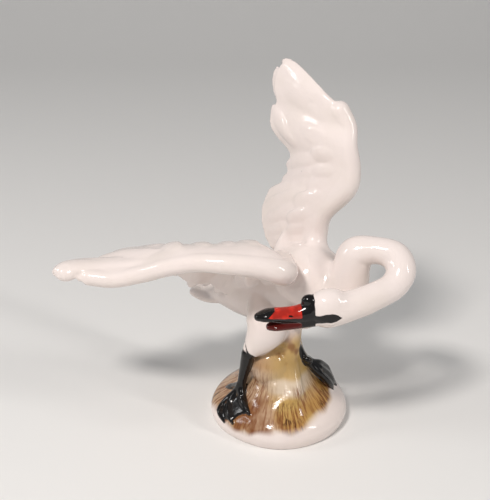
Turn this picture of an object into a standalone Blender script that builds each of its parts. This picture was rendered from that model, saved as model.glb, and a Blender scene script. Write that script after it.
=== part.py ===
"""A glazed porcelain swan on a rocky mound, cast in one piece: one wing thrown up, one spread low,
the neck looped back across the breast.

Lengths are metres, +Z is up, and the figurine is seen from the front along +Y."""

import math

import bpy
import numpy as np

# The base
BASE_HALF_WIDTH = 0.0288
BASE_HALF_DEPTH = 0.0298
MOUND_HEIGHT = 0.0340
FOOT_WALL = 0.0036
SUPPORT_RADIUS = 0.0040
HOLLOW_DEPTH = 0.0220

# The body
BODY_LENGTH = 0.0740
BODY_HALF_WIDTH = 0.0140
BODY_HALF_HEIGHT = 0.0145
BODY_LIFT = 0.0215
BODY_YAW = math.radians(-38)
BODY_PITCH = math.radians(16)
TAIL_LENGTH = 0.0232
TAIL_THICKNESS = 0.0034

# The legs
THIGH_RADIUS = 0.0080
LEG_RADIUS = 0.0020
TOE_RADIUS = 0.0014
WEB_THICKNESS = 0.0024

# The neck, head and bill
NECK_REACH = 0.0400
NECK_RADIUS = 0.0054
HEAD_HALF_HEIGHT = 0.0080
HEAD_HALF_WIDTH = 0.0062
BILL_LENGTH = 0.0215
BILL_HALF_WIDTH = 0.0036
BILL_HALF_HEIGHT = 0.0028
KNOB_RADIUS = 0.0025
EYE_RADIUS = 0.0016

# The wings
WING_REACH = 0.1000
ARM_RADIUS = 0.0040
WING_THICKNESS = 0.0024
COVERT_THICKNESS = 0.0008

# The cast surface
MOULD_GRAIN = 0.0008
SOFTENING_PASSES = 5
TRIANGLE_BUDGET = 11400


def curve(knots, values, at):
    """A smooth curve through the values at their knots, straight on past its ends."""
    knots = np.asarray(knots, float)
    values = np.asarray(values, float)
    at = np.asarray(at, float)
    inside = np.clip(at, knots[0], knots[-1])
    slopes = np.gradient(values, knots, axis=0)
    i = np.clip(np.searchsorted(knots, inside) - 1, 0, len(knots) - 2)
    gap = knots[i + 1] - knots[i]
    t = (inside - knots[i]) / gap
    past = at - inside
    if values.ndim > 1:
        t = t[..., None]
        gap = gap[..., None]
        past = past[..., None]
    return (
        values[i] * (2 * t**3 - 3 * t**2 + 1)
        + values[i + 1] * (3 * t**2 - 2 * t**3)
        + slopes[i] * gap * (t**3 - 2 * t**2 + t)
        + slopes[i + 1] * gap * (t**3 - t**2)
        + np.where(past < 0, slopes[0], slopes[-1]) * past
    )


def unit(vectors):
    return vectors / np.linalg.norm(vectors, axis=-1, keepdims=True)


SHELLS = []


def add_shell(rings):
    """Keeps a closed skin over a stack of equal rings, with a fan of triangles at each end."""
    rings = np.asarray(rings, float)
    count, around = rings.shape[:2]
    points = np.vstack([rings.reshape(-1, 3), rings[0].mean(0), rings[-1].mean(0)])
    first_cap = count * around
    faces = []
    for j in range(around):
        k = (j + 1) % around
        for i in range(count - 1):
            a = i * around
            b = a + around
            faces.append((a + j, a + k, b + k, b + j))
        faces.append((first_cap, k, j))
        faces.append((first_cap + 1, first_cap - around + j, first_cap - around + k))
    SHELLS.append((points, faces))


def sweep(centres, half_widths, half_heights, up=(0, 0, 1), around=20, end_rings=5):
    """An oval tube along a line of centres, its ends rounded."""
    centres = np.asarray(centres, float)
    half_widths = np.broadcast_to(half_widths, len(centres))
    half_heights = np.broadcast_to(half_heights, len(centres))
    along = unit(np.gradient(centres, axis=0))
    side = unit(np.cross(along, np.asarray(up, float)))
    over = np.cross(side, along)
    turn = np.linspace(0, 2 * math.pi, around, endpoint=False)
    closing = np.linspace(math.pi / 2, 0, end_rings, endpoint=False)[:, None]
    rings = []
    for end in (0, -1):
        sign = -1 if end == 0 else 1
        depth = min(half_widths[end], half_heights[end])
        caps = [
            (centres[end] + sign * along[end] * depth * math.sin(a), math.cos(a), end)
            for a in closing[:, 0]
        ]
        caps[0] = (caps[0][0], 0.05, end)
        body = [(centres[i], 1.0, i) for i in range(len(centres))]
        rings = caps + body if end == 0 else rings + caps[::-1]
    add_shell(
        [
            middle
            + share * half_widths[i] * np.cos(turn)[:, None] * side[i]
            + share * half_heights[i] * np.sin(turn)[:, None] * over[i]
            for middle, share, i in rings
        ]
    )


def ellipsoid(centre, radii, axes=np.eye(3), around=20, rows=11):
    tilt = np.linspace(-math.pi / 2 + 0.05, math.pi / 2 - 0.05, rows)
    turn = np.linspace(0, 2 * math.pi, around, endpoint=False)
    unit_rings = np.array(
        [
            [(math.cos(t) * math.cos(a), math.cos(t) * math.sin(a), math.sin(t)) for a in turn]
            for t in tilt
        ]
    )
    add_shell(np.asarray(centre) + (unit_rings * np.asarray(radii)) @ np.asarray(axes))


# The mound: height share, radius share
MOUND_PROFILE = np.array(
    [
        (-0.10, 0.925),
        (0.00, 0.955),
        (0.07, 0.990),
        (0.15, 1.000),
        (0.23, 0.955),
        (0.32, 0.835),
        (0.43, 0.690),
        (0.53, 0.575),
        (0.63, 0.490),
        (0.76, 0.410),
        (0.88, 0.355),
        (1.12, 0.300),
    ]
)
# Swellings of the rock: azimuth, height share, half breadth in degrees, half height, rise
ROCKS = (
    (-38, 0.76, 30, 0.17, 0.040),
    (4, 0.50, 16, 0.09, 0.040),
    (18, 0.58, 15, 0.16, 0.085),
    (30, 0.95, 20, 0.22, 0.070),
    (-12, 0.40, 24, 0.10, 0.035),
    (94, 0.60, 34, 0.18, 0.055),
    (160, 0.62, 34, 0.20, 0.060),
    (-140, 0.50, 26, 0.16, 0.030),
    (-96, 0.42, 34, 0.12, -0.085),
    (-58, 0.04, 32, 0.14, 0.024),
)


def on_mound(azimuth, height_share, lift=0.0):
    """A point on the mound. Azimuth is in degrees, 0 at the front and 90 at +X."""
    azimuth = np.asarray(azimuth, float)
    height_share = np.asarray(height_share, float)
    share = curve(MOUND_PROFILE[:, 0], MOUND_PROFILE[:, 1], height_share)
    for rock_azimuth, rock_height, breadth, height, rise in ROCKS:
        turn = (azimuth - rock_azimuth + 180) % 360 - 180
        away = (turn / breadth) ** 2 + ((height_share - rock_height) / height) ** 2
        share = share + rise * np.exp(-away)
    a = np.radians(azimuth)
    share = share * (1 + 0.010 * np.sin(a) + 0.012 * np.sin(3 * a + 0.6) + 0.008 * np.sin(5 * a + 1.9))
    x = (BASE_HALF_WIDTH * share + lift) * np.sin(a)
    y = -(BASE_HALF_DEPTH * share + lift) * np.cos(a)
    z = MOUND_HEIGHT * height_share
    return np.stack(np.broadcast_arrays(x, y, z), axis=-1)


def make_mound():
    azimuths = np.linspace(0, 360, 72, endpoint=False)
    add_shell([on_mound(azimuths, h) for h in np.linspace(-0.10, 1.12, 36)])
    sunk = -SUPPORT_RADIUS
    support = [on_mound(22, 0.55, 1.1 * sunk), on_mound(28, 0.88, sunk), on_body(0.16, 0.32, -0.95)]
    at = np.linspace(0, 2, 14)
    radius = curve([0, 1, 2], (1.0, 1.0, 1.35), at) * SUPPORT_RADIUS
    sweep(curve([0, 1, 2], support, at), radius, radius, up=(0, 1, 0.1))
    ellipsoid(on_mound(-30, 0.80, sunk), np.array([0.25, 0.23, 0.27]) * MOUND_HEIGHT)


BODY_MIDDLE = np.array([-0.0010, 0.0060, MOUND_HEIGHT + BODY_LIFT])
FORWARD = np.array(
    [
        math.cos(BODY_YAW) * math.cos(BODY_PITCH),
        math.sin(BODY_YAW) * math.cos(BODY_PITCH),
        math.sin(BODY_PITCH),
    ]
)
RIGHT = unit(np.cross(FORWARD, (0, 0, 1)))
UPWARD = np.cross(RIGHT, FORWARD)


def on_body(forward, right, up):
    """A place in the body, in shares of its half length, half width and half height."""
    return (
        BODY_MIDDLE
        + FORWARD * forward * BODY_LENGTH / 2
        + RIGHT * right * BODY_HALF_WIDTH
        + UPWARD * up * BODY_HALF_HEIGHT
    )


def make_body():
    # place along the body, rise of the spine, width and height shares
    stations = np.array(
        [
            (-1.00, 0.00, 0.40, 0.24),
            (-0.75, -0.04, 0.60, 0.45),
            (-0.50, -0.06, 0.78, 0.69),
            (-0.20, -0.02, 0.95, 0.92),
            (0.10, 0.02, 1.00, 1.00),
            (0.38, 0.10, 0.93, 0.93),
            (0.60, 0.20, 0.72, 0.72),
        ]
    )
    at = np.linspace(stations[0, 0], stations[-1, 0], 22)
    rise, width, height = curve(stations[:, 0], stations[:, 1:], at).T
    centres = np.array([on_body(f, 0, u) for f, u in zip(at, rise)])
    sweep(centres, width * BODY_HALF_WIDTH, height * BODY_HALF_HEIGHT, up=UPWARD, around=28)
    axes = (FORWARD, RIGHT, UPWARD)
    belly = np.array([0.72, 0.66, 0.62]) * BODY_HALF_WIDTH
    shoulders = np.array([0.72, 0.85, 0.56]) * BODY_HALF_WIDTH
    ellipsoid(on_body(0.00, 0.46, -0.88), belly, axes)
    ellipsoid(on_body(0.52, -0.22, 0.62), shoulders, axes)
    ellipsoid(on_body(0.18, 0.05, 0.62), shoulders, axes)


def make_tail():
    """A blunt fan of tail feathers."""
    root = on_body(-0.55, 0.04, -0.08)
    for spread in (-0.34, -0.17, 0, 0.17, 0.34):
        heading = -FORWARD * math.cos(spread) + RIGHT * math.sin(spread) - UPWARD * 0.06
        tip = root + heading * TAIL_LENGTH * (1 - 0.26 * abs(spread))
        share = np.linspace(0, 1, 10)[:, None]
        sag = 0.17 * TAIL_LENGTH * (share * (share - 1) + share**4)
        centres = root * (1 - share) + tip * share + UPWARD * sag
        width = TAIL_THICKNESS * (1.25 - 0.25 * share[:, 0] ** 3)
        sweep(centres, width, TAIL_THICKNESS * 0.72 * (1 - 0.2 * share[:, 0]), up=UPWARD, around=14)


# The neck from the breast round to the back of the head, in shares of its reach: place and radius
NECK_ROUTE = np.array(
    [
        (-0.150, -0.030, -0.230, 1.50),
        (0.080, -0.090, -0.090, 1.50),
        (0.271, -0.118, 0.086, 1.48),
        (0.303, -0.118, 0.273, 1.38),
        (0.352, -0.118, 0.430, 1.27),
        (0.537, -0.168, 0.486, 0.99),
        (0.705, -0.243, 0.455, 1.09),
        (0.755, -0.368, 0.360, 1.08),
        (0.674, -0.468, 0.252, 1.00),
        (0.505, -0.568, 0.200, 1.00),
        (0.310, -0.643, 0.147, 1.09),
        (0.128, -0.693, 0.107, 1.15),
    ]
)
NECK_ROOT = on_body(0.62, 0.10, 0.16)
NECK_LINE = NECK_ROOT + NECK_ROUTE[:, :3] * NECK_REACH
BILL_HEADING = unit(np.array([-0.985, -0.10, -0.03]))
BILL_UP = unit(np.array([-0.03, 0.0, 1.0]))
BILL_SIDE = unit(np.cross(BILL_UP, BILL_HEADING))
CROWN_UP = np.cross(BILL_HEADING, BILL_SIDE)
HEAD_MIDDLE = NECK_LINE[-1] + (BILL_HEADING * 0.38 + CROWN_UP * 0.16) * HEAD_HALF_HEIGHT
BILL_ROOT = HEAD_MIDDLE + (BILL_HEADING * 0.70 - CROWN_UP * 0.12) * HEAD_HALF_HEIGHT


def make_neck():
    knots = np.arange(len(NECK_LINE))
    at = np.linspace(0, knots[-1], 70)
    centres = curve(knots, NECK_LINE, at)
    radius = curve(knots, NECK_ROUTE[:, 3], at) * NECK_RADIUS
    sweep(centres, radius, radius, up=(0.15, 1, 0.2), around=24)


def head_axes():
    return np.array([BILL_HEADING, BILL_SIDE, CROWN_UP])


def make_head():
    ellipsoid(
        HEAD_MIDDLE,
        (HEAD_HALF_HEIGHT * 1.10, HEAD_HALF_WIDTH, HEAD_HALF_HEIGHT * 0.98),
        head_axes(),
    )
    for side in (-1, 1):
        out = BILL_SIDE * side * HEAD_HALF_WIDTH * 0.84 - CROWN_UP * HEAD_HALF_HEIGHT * 0.40
        radii = (EYE_RADIUS, EYE_RADIUS * 0.6, EYE_RADIUS)
        ellipsoid(HEAD_MIDDLE + out, radii, head_axes(), around=12, rows=7)


def make_bill():
    share = np.linspace(0, 1, 16)
    width = curve([0, 0.3, 0.7, 0.92, 1], [1.15, 0.95, 1.0, 0.92, 0.62], share) * BILL_HALF_WIDTH
    height = curve([0, 0.25, 0.6, 0.9, 1], [1.75, 1.3, 0.95, 0.75, 0.55], share) * BILL_HALF_HEIGHT
    drop = curve([0, 0.3, 0.8, 1], [0.14, -0.18, -0.04, -0.18], share) * BILL_HALF_HEIGHT
    upper = BILL_ROOT + share[:, None] * BILL_HEADING * BILL_LENGTH
    sweep(upper + drop[:, None] * CROWN_UP, width, height, up=CROWN_UP)
    lower = BILL_ROOT + share[:, None] * BILL_HEADING * BILL_LENGTH * 0.80
    gape = curve([0, 0.4, 1], [-1.25, -1.60, -1.80], share) * BILL_HALF_HEIGHT
    thin = curve([0, 0.5, 1], [0.80, 0.62, 0.52], share) * BILL_HALF_HEIGHT
    sweep(lower + gape[:, None] * CROWN_UP, width * 0.90, thin, up=CROWN_UP)
    ellipsoid(
        BILL_ROOT + (BILL_HEADING * 0.8 + CROWN_UP * 1.9) * KNOB_RADIUS,
        (KNOB_RADIUS * 1.15, KNOB_RADIUS * 0.95, KNOB_RADIUS),
        head_axes(),
        around=14,
        rows=9,
    )


# Each leg: places and radii of the thigh from the hip to the ankle, the ankle and heel as azimuth,
# height share and leg radii off the mound, each toe as azimuth and height half way and at its tip
LEGS = {
    "right": {
        "hip": (0.00, 0.52, -0.12),
        "knee": (0.05, 1.05, -0.80),
        "thigh": (1.05, 1.05, 0.37),
        "ankle": (-49, 1.04, 4.3),
        "heel": (-60, 0.58, 1.7),
        "toes": ((-67, 0.31, -54, 0.175), (-61, 0.36, -45, 0.210), (-51, 0.45, -33, 0.345)),
        "spur": (-95, 0.33),
        "instep": 0.3,
    },
    "left": {
        "hip": (0.00, -0.20, -0.40),
        "knee": (-0.02, -0.05, -1.05),
        "thigh": (0.80, 0.56, 0.30),
        "ankle": (54, 1.00, -0.9),
        "heel": (62, 0.86, 0.3),
        "toes": ((71, 0.62, 85, 0.37), (82, 0.64, 99, 0.31), (94, 0.66, 114, 0.28)),
        "spur": (110, 0.80),
        "instep": 1.0,
    },
}


def standing_off(azimuth, height, legs_out):
    """A place off the mound by a number of leg radii."""
    return on_mound(azimuth, height, legs_out * LEG_RADIUS)


def make_leg(leg):
    hip, knee = on_body(*leg["hip"]), on_body(*leg["knee"])
    ankle = standing_off(*leg["ankle"])
    at = np.linspace(0, 2, 16)
    radius = curve([0, 1, 2], leg["thigh"], at) * THIGH_RADIUS
    sweep(curve([0, 1, 2], [hip, knee, ankle], at), radius, radius, up=(0, 1, 0.1))
    azimuth, height, off = leg["heel"]
    shin = [ankle, standing_off(azimuth, height, off), standing_off(azimuth - 2, height - 0.12, 0.4 * off)]
    width = curve([0, 0.8, 2], [1.25, 0.95, 1.30], at) * LEG_RADIUS
    sweep(curve([0, 1, 2], shin, at), width, width, up=(0, 1, 0.1), around=14)


def along_foot(leg, toe, share, lift):
    """The way from the heel to the tip of a toe, bending on its way down the mound."""
    azimuth, height, off = leg["heel"]
    way = curve([0, 0.5, 1], [(azimuth, height), toe[:2], toe[2:]], share)
    rise = off * (1 - share) ** 2 + leg["instep"] * 4 * share * (1 - share)
    return on_mound(way[..., 0], way[..., 1], lift + rise * LEG_RADIUS)


def make_foot(leg):
    """Three toes and the web between them, lying on the slope of the mound, and the hind toe."""
    toes = np.array(leg["toes"], float)
    share = np.linspace(0, 1, 14)
    radius = TOE_RADIUS * (1 + 0.08 * np.cos(share * 6 * math.pi)) * (1.10 - 0.25 * share)
    for toe in toes:
        sweep(along_foot(leg, toe, share, TOE_RADIUS / 2), radius, radius, up=(0.3, 0.2, 1), around=10)
    across = np.linspace(0, 2, 19)
    reach = 0.95 - 0.10 * np.sin(across * math.pi) ** 2
    rings = []
    for toe, most in zip(curve([0, 1, 2], toes, across), reach):
        outside = along_foot(leg, toe, share * most, WEB_THICKNESS * 0.5)
        inside = along_foot(leg, toe, share * most, -WEB_THICKNESS)
        rings.append(np.vstack([outside, inside[::-1]]))
    add_shell(rings)
    spur = np.array([*np.add(leg["heel"][:2], leg["spur"]) / 2, *leg["spur"]])
    line = along_foot(leg, spur, np.linspace(0, 1, 6), 0.3 * TOE_RADIUS)
    sweep(line, TOE_RADIUS, TOE_RADIUS, up=(0.3, 0.2, 1), around=8)


class Wing:
    """A wing as a sheet: u runs from shoulder (0) to hand (1), v from arm (0) to feather tips (1)."""

    def __init__(self, shoulder, arm, tips, bulge, bend, web_end, feathers, dorsal):
        arm = np.asarray(arm, float)
        tips = np.asarray(tips, float)
        self.arm_at = arm[:, 0]
        self.arm = shoulder + arm[:, 1:4] * WING_REACH
        self.arm_radius = arm[:, 4] * ARM_RADIUS
        self.tips_at = tips[:, 0]
        self.tips = shoulder + tips[:, 1:4] * WING_REACH
        self.bulge = np.asarray(bulge, float)
        self.bend = np.asarray(bend, float)
        self.web_end = np.asarray(web_end, float)
        self.feathers = feathers
        self.dorsal = dorsal

    def at(self, u, v):
        u, v = np.broadcast_arrays(np.asarray(u, float), np.asarray(v, float))
        root = curve(self.arm_at, self.arm, u)
        tip = curve(self.tips_at, self.tips, u)
        ahead = curve(self.arm_at, self.arm, np.clip(u, 0.05, 0.95) + 0.05)
        behind = curve(self.arm_at, self.arm, np.clip(u, 0.05, 0.95) - 0.05)
        shaft = tip - root
        outward = unit(np.cross(shaft, ahead - behind)) * self.dorsal
        inward = unit(np.cross(shaft, outward)) * self.dorsal
        bulge = curve(self.bulge[:, 0], self.bulge[:, 1], u) * WING_REACH
        bend = curve(self.bend[:, 0], self.bend[:, 1], u) * WING_REACH
        v_in = np.clip(v, 0, 1)
        arch = v_in**0.8 * (1 - v_in) ** 1.3 / 0.2377
        return (
            root
            + shaft * v[..., None]
            + outward * (bulge * arch)[..., None]
            + inward * (bend * 4 * v * (1 - v))[..., None]
        )

    def normal(self, u, v):
        step = 0.015
        u = np.clip(u, step, 1 - step)
        v = np.clip(v, step, 1 - step)
        du = self.at(u + step, v) - self.at(u - step, v)
        dv = self.at(u, v + step) - self.at(u, v - step)
        return unit(np.cross(dv, du)) * self.dorsal

    def lifted(self, u, v, lift):
        u, v, lift = np.broadcast_arrays(u, v, lift)
        return self.at(u, v) + self.normal(u, v) * lift[..., None]

    def make_arm(self):
        at = np.linspace(0, 1, 44)
        radius = curve(self.arm_at, self.arm_radius, at)
        sweep(curve(self.arm_at, self.arm, at), radius, radius, up=(0.4, 1, 0.3))

    def make_sheet(self):
        rings = []
        for u in np.linspace(0.0, 1.0, 50):
            v = np.linspace(0.0, float(curve(self.web_end[:, 0], self.web_end[:, 1], u)), 24)
            radius = curve(self.arm_at, self.arm_radius, u)
            swell = (1 - np.clip(v / 0.4, 0, 1)) ** 1.5
            half = WING_THICKNESS / 2 + (radius * 0.85 - WING_THICKNESS / 2) * swell
            top = self.lifted(np.full_like(v, u), v, half)
            bottom = self.lifted(np.full_like(v, u), v, -half * 0.8)
            rings.append(np.vstack([top, bottom[::-1]]))
        add_shell(rings)

    def make_feather(self, u_root, v_root, u_tip, v_tip, half_width, half_thickness, lift):
        """A blade with a rounded tip, lying along the sheet."""
        share = np.sin(np.linspace(0.02, math.pi / 2 - 0.02, 14))
        u = u_root + (u_tip - u_root) * share
        v = v_root + (v_tip - v_root) * share
        width = half_width * WING_REACH * (1 - share**9) ** 0.5 * (0.8 + 0.2 * share)
        over = half_thickness * WING_REACH * (1 - 0.2 * share) * (1.02 - share**12) ** 0.5
        line = self.lifted(u, v, lift * WING_REACH)
        sweep(line, width, over, up=self.normal(u, v), around=14, end_rings=2)

    def make_coverts(self):
        """Two rows of short feathers shingled over the upper face."""
        half_thickness = COVERT_THICKNESS / 2 / WING_REACH
        lift = WING_THICKNESS / 2 / WING_REACH
        rows = ((10, 0.08, 0.34, 0.5, 0.028), (11, 0.02, 0.22, 0, 0.025))
        for count, v_root, v_tip, phase, half_width in rows:
            for k in range(count):
                u = (k + phase) / count
                if 0.04 < u < 0.97:
                    self.make_feather(u, v_root, u, v_tip, half_width, half_thickness, lift)

    def make(self):
        self.make_arm()
        self.make_sheet()
        for feather in self.feathers:
            self.make_feather(*feather)
        self.make_coverts()


# In both wings each row of the arm and of the tips starts with its place u along the wing; lengths
# are in shares of the wing's reach, and the arm's last number is its thickness. A feather is the
# place of its root and of its tip, its half width and half thickness, and its rise off the sheet.
RAISED_WING = Wing(
    shoulder=on_body(0.24, -0.60, 0.62),
    arm=[
        (0.00, 0.044, -0.029, 0.073, 1.38),
        (0.14, 0.054, -0.019, 0.154, 1.22),
        (0.28, 0.077, -0.029, 0.237, 1.06),
        (0.45, 0.160, -0.049, 0.356, 1.29),
        (0.60, 0.178, -0.049, 0.434, 1.08),
        (0.75, 0.166, -0.039, 0.526, 0.98),
        (0.88, 0.166, -0.009, 0.595, 0.92),
        (1.00, 0.138, 0.014, 0.645, 0.84),
    ],
    tips=[
        (0.00, -0.128, 0.131, 0.013),
        (0.13, -0.153, 0.171, 0.055),
        (0.26, -0.164, 0.211, 0.135),
        (0.38, -0.141, 0.231, 0.219),
        (0.48, -0.079, 0.216, 0.293),
        (0.58, -0.059, 0.201, 0.366),
        (0.66, -0.076, 0.221, 0.424),
        (0.74, -0.135, 0.241, 0.501),
        (0.84, -0.148, 0.261, 0.598),
        (0.91, -0.141, 0.251, 0.703),
        (0.96, -0.088, 0.221, 0.802),
        (1.00, -0.019, 0.181, 0.765),
    ],
    bulge=[(0, 0.02), (0.4, 0.04), (0.8, 0.04), (1, 0.02)],
    bend=[(0, 0.00), (0.5, 0.01), (0.75, -0.04), (1, -0.01)],
    web_end=[
        (0, 0.94),
        (0.43, 0.94),
        (0.50, 0.91),
        (0.57, 0.95),
        (0.635, 0.86),
        (0.70, 0.92),
        (0.80, 0.92),
        (0.86, 0.84),
        (0.94, 0.92),
        (1, 0.92),
    ],
    feathers=[
        (0.1, 0.25, 0.02, 1, 0.046, 0.012, -0.001),
        (0.22, 0.25, 0.1, 1, 0.046, 0.012, 0.000),
        (0.33, 0.25, 0.19, 1, 0.046, 0.012, 0.001),
        (0.43, 0.25, 0.28, 1, 0.046, 0.012, 0.002),
        (0.51, 0.25, 0.38, 0.99, 0.046, 0.012, 0.003),
        (0.58, 0.25, 0.47, 0.97, 0.044, 0.012, 0.004),
        (0.64, 0.25, 0.56, 1, 0.044, 0.012, 0.005),
        (0.655, 0.66, 0.84, 0.91, 0.048, 0.016, 0.005),
        (0.81, 0.3, 0.925, 0.98, 0.060, 0.014, 0.001),
        (0.96, 0.1, 0.962, 1, 0.040, 0.014, 0.003),
        (0.72, 0.05, 0.74, 0.52, 0.046, 0.014, 0.006),
        (0.85, 0.05, 0.86, 0.46, 0.046, 0.014, 0.007),
        (0.95, 0.02, 0.95, 0.4, 0.040, 0.014, 0.007),
    ],
    dorsal=-1,
)
SPREAD_WING = Wing(
    shoulder=on_body(0.26, 0.55, 0.60),
    arm=[
        (0.00, 0.002, -0.017, 0.077, 1.20),
        (0.08, 0.010, -0.117, 0.099, 1.22),
        (0.20, 0.003, -0.207, 0.122, 1.29),
        (0.35, -0.081, -0.237, 0.158, 1.09),
        (0.50, -0.221, -0.237, 0.174, 0.99),
        (0.62, -0.335, -0.217, 0.169, 0.90),
        (0.75, -0.452, -0.187, 0.133, 0.91),
        (0.86, -0.552, -0.157, 0.090, 0.88),
        (0.94, -0.663, -0.142, 0.061, 0.84),
        (1.00, -0.750, -0.128, 0.064, 0.84),
    ],
    tips=[
        (0.00, -0.075, 0.063, -0.135),
        (0.12, -0.166, 0.123, -0.138),
        (0.24, -0.247, 0.153, -0.168),
        (0.36, -0.310, 0.173, -0.136),
        (0.48, -0.391, 0.173, -0.140),
        (0.58, -0.469, 0.183, -0.070),
        (0.68, -0.560, 0.163, 0.041),
        (0.78, -0.688, 0.093, 0.074),
        (0.86, -0.763, 0.043, 0.071),
        (0.94, -0.914, -0.047, 0.083),
        (1.00, -0.832, -0.152, 0.055),
    ],
    bulge=[(0, 0.06), (0.2, 0.095), (0.35, 0.105), (0.48, 0.085), (0.62, 0.05), (0.75, 0.025), (1, 0.01)],
    bend=[(0, 0), (1, 0)],
    web_end=[(0, 0.95), (0.3, 0.93), (0.5, 0.90), (0.78, 0.86), (0.88, 0.70), (1, 0.50)],
    feathers=[
        (0.06, 0.25, 0.02, 1, 0.044, 0.012, -0.001),
        (0.14, 0.25, 0.11, 0.98, 0.044, 0.012, 0.000),
        (0.22, 0.25, 0.2, 0.98, 0.044, 0.012, 0.001),
        (0.3, 0.25, 0.29, 0.99, 0.044, 0.012, 0.001),
        (0.38, 0.25, 0.38, 0.98, 0.044, 0.012, 0.001),
        (0.46, 0.25, 0.47, 0.97, 0.044, 0.012, 0.001),
        (0.54, 0.25, 0.56, 0.97, 0.044, 0.012, 0.001),
        (0.62, 0.25, 0.65, 0.97, 0.042, 0.012, 0.001),
        (0.68, 0.3, 0.74, 0.95, 0.046, 0.014, 0.001),
        (0.7, 0.3, 0.86, 0.82, 0.054, 0.022, 0.003),
        (0.78, 0.3, 0.95, 0.90, 0.058, 0.028, 0.000),
    ],
    dorsal=1,
)


def make_mantle():
    """The breast plumage, running without a step from the raised wing's root down to the belly."""
    line = [
        RAISED_WING.lifted(0.28, 0.36, -WING_THICKNESS),
        RAISED_WING.at(0.02, 0.40),
        on_body(0.46, 0.02, 0.78),
        on_body(0.58, 0.20, 0.36),
        on_body(0.58, 0.20, -0.30),
    ]
    at = np.linspace(0, 4, 26)
    width = curve(range(5), (0.20, 0.58, 0.77, 0.74, 0.57), at) * BODY_HALF_WIDTH
    depth = curve(range(5), (0.10, 0.25, 0.51, 0.60, 0.50), at) * BODY_HALF_WIDTH
    sweep(curve(range(5), line, at), width, depth, up=(0, -1, 0.3), around=28)


def porcelain():
    material = bpy.data.materials.new("glazed_porcelain")
    material.use_nodes = True
    shader = material.node_tree.nodes["Principled BSDF"]
    shader.inputs["Base Color"].default_value = (0.86, 0.79, 0.76, 1)
    shader.inputs["Roughness"].default_value = 0.12
    shader.inputs["Metallic"].default_value = 0.0
    return material


def mesh_object(name, shells):
    points, faces, start = [], [], 0
    for shell_points, shell_faces in shells:
        points.extend(map(tuple, shell_points))
        faces.extend(tuple(start + i for i in face) for face in shell_faces)
        start += len(shell_points)
    mesh = bpy.data.meshes.new(name)
    mesh.from_pydata(points, [], faces)
    obj = bpy.data.objects.new(name, mesh)
    bpy.context.scene.collection.objects.link(obj)
    return obj


def cutter(name, rings):
    SHELLS.clear()
    add_shell(rings)
    obj = mesh_object(name, SHELLS)
    obj.hide_render = True
    obj.display_type = "WIRE"
    return obj


def box_rings(half, low, high):
    corners = [(-half, -half), (half, -half), (half, half), (-half, half)]
    return [[(x, y, z) for x, y in corners] for z in (low, high)]


def hollow_rings():
    """The hollow that the slip leaves under the mound, a wall's thickness inside its surface."""
    azimuths = np.linspace(0, 360, 32, endpoint=False)
    rings = [on_mound(azimuths, -0.08, -FOOT_WALL)]
    for share in np.linspace(0, 0.999, 10):
        height = share * HOLLOW_DEPTH / MOUND_HEIGHT
        ring = on_mound(azimuths, height, -FOOT_WALL)
        close = math.sqrt(1 - share**3)
        rings.append(ring * (close, close, 1))
    return rings


def cut_by(obj, other):
    modifier = obj.modifiers.new("cut by " + other.name, "BOOLEAN")
    modifier.operation = "DIFFERENCE"
    modifier.object = other


def evaluated_mesh(obj):
    bpy.context.view_layer.update()
    return obj.evaluated_get(bpy.context.evaluated_depsgraph_get()).data


def make_figurine():
    SHELLS.clear()
    make_mound()
    make_body()
    make_tail()
    make_neck()
    make_head()
    make_bill()
    for leg in LEGS.values():
        make_leg(leg)
        make_foot(leg)
    RAISED_WING.make()
    SPREAD_WING.make()
    make_mantle()
    figurine = mesh_object("swan_figurine", SHELLS)
    figurine.data.materials.append(porcelain())
    fuse = figurine.modifiers.new("one cast skin", "REMESH")
    fuse.mode = "VOXEL"
    fuse.voxel_size = MOULD_GRAIN
    soften = figurine.modifiers.new("glaze softening", "SMOOTH")
    soften.iterations = SOFTENING_PASSES
    thin = figurine.modifiers.new("fewer faces", "DECIMATE")
    thin.ratio = 1
    thin.ratio = TRIANGLE_BUDGET / (2 * len(evaluated_mesh(figurine).polygons))
    cut_by(figurine, cutter("table_plane", box_rings(3 * BASE_HALF_WIDTH, -BASE_HALF_DEPTH, 0)))
    cut_by(figurine, cutter("base_hollow", hollow_rings()))
    return figurine


def stand_at_origin(figurine):
    """Moves everything so that the origin is under the middle of the bounding box."""
    mesh = evaluated_mesh(figurine)
    points = np.array([v.co for v in mesh.vertices])
    middle = (points.min(0) + points.max(0)) / 2
    for obj in bpy.data.objects:
        obj.location = (-middle[0], -middle[1], 0)


def main():
    for obj in list(bpy.data.objects):
        bpy.data.objects.remove(obj)
    stand_at_origin(make_figurine())


main()
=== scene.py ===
# %% [markdown]
# # A glazed porcelain swan
#
# The figurine is cast in one piece from liquid clay, painted, glazed and fired. Here it is made the
# same way round: every limb is modelled as a simple closed form, all of them are fused into one soft
# skin, and then the skin is painted and glazed. Lengths are metres, +Z is up, the front faces -Y.

import math

import bpy
import numpy as np
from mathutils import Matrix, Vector
from mathutils.bvhtree import BVHTree


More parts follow.
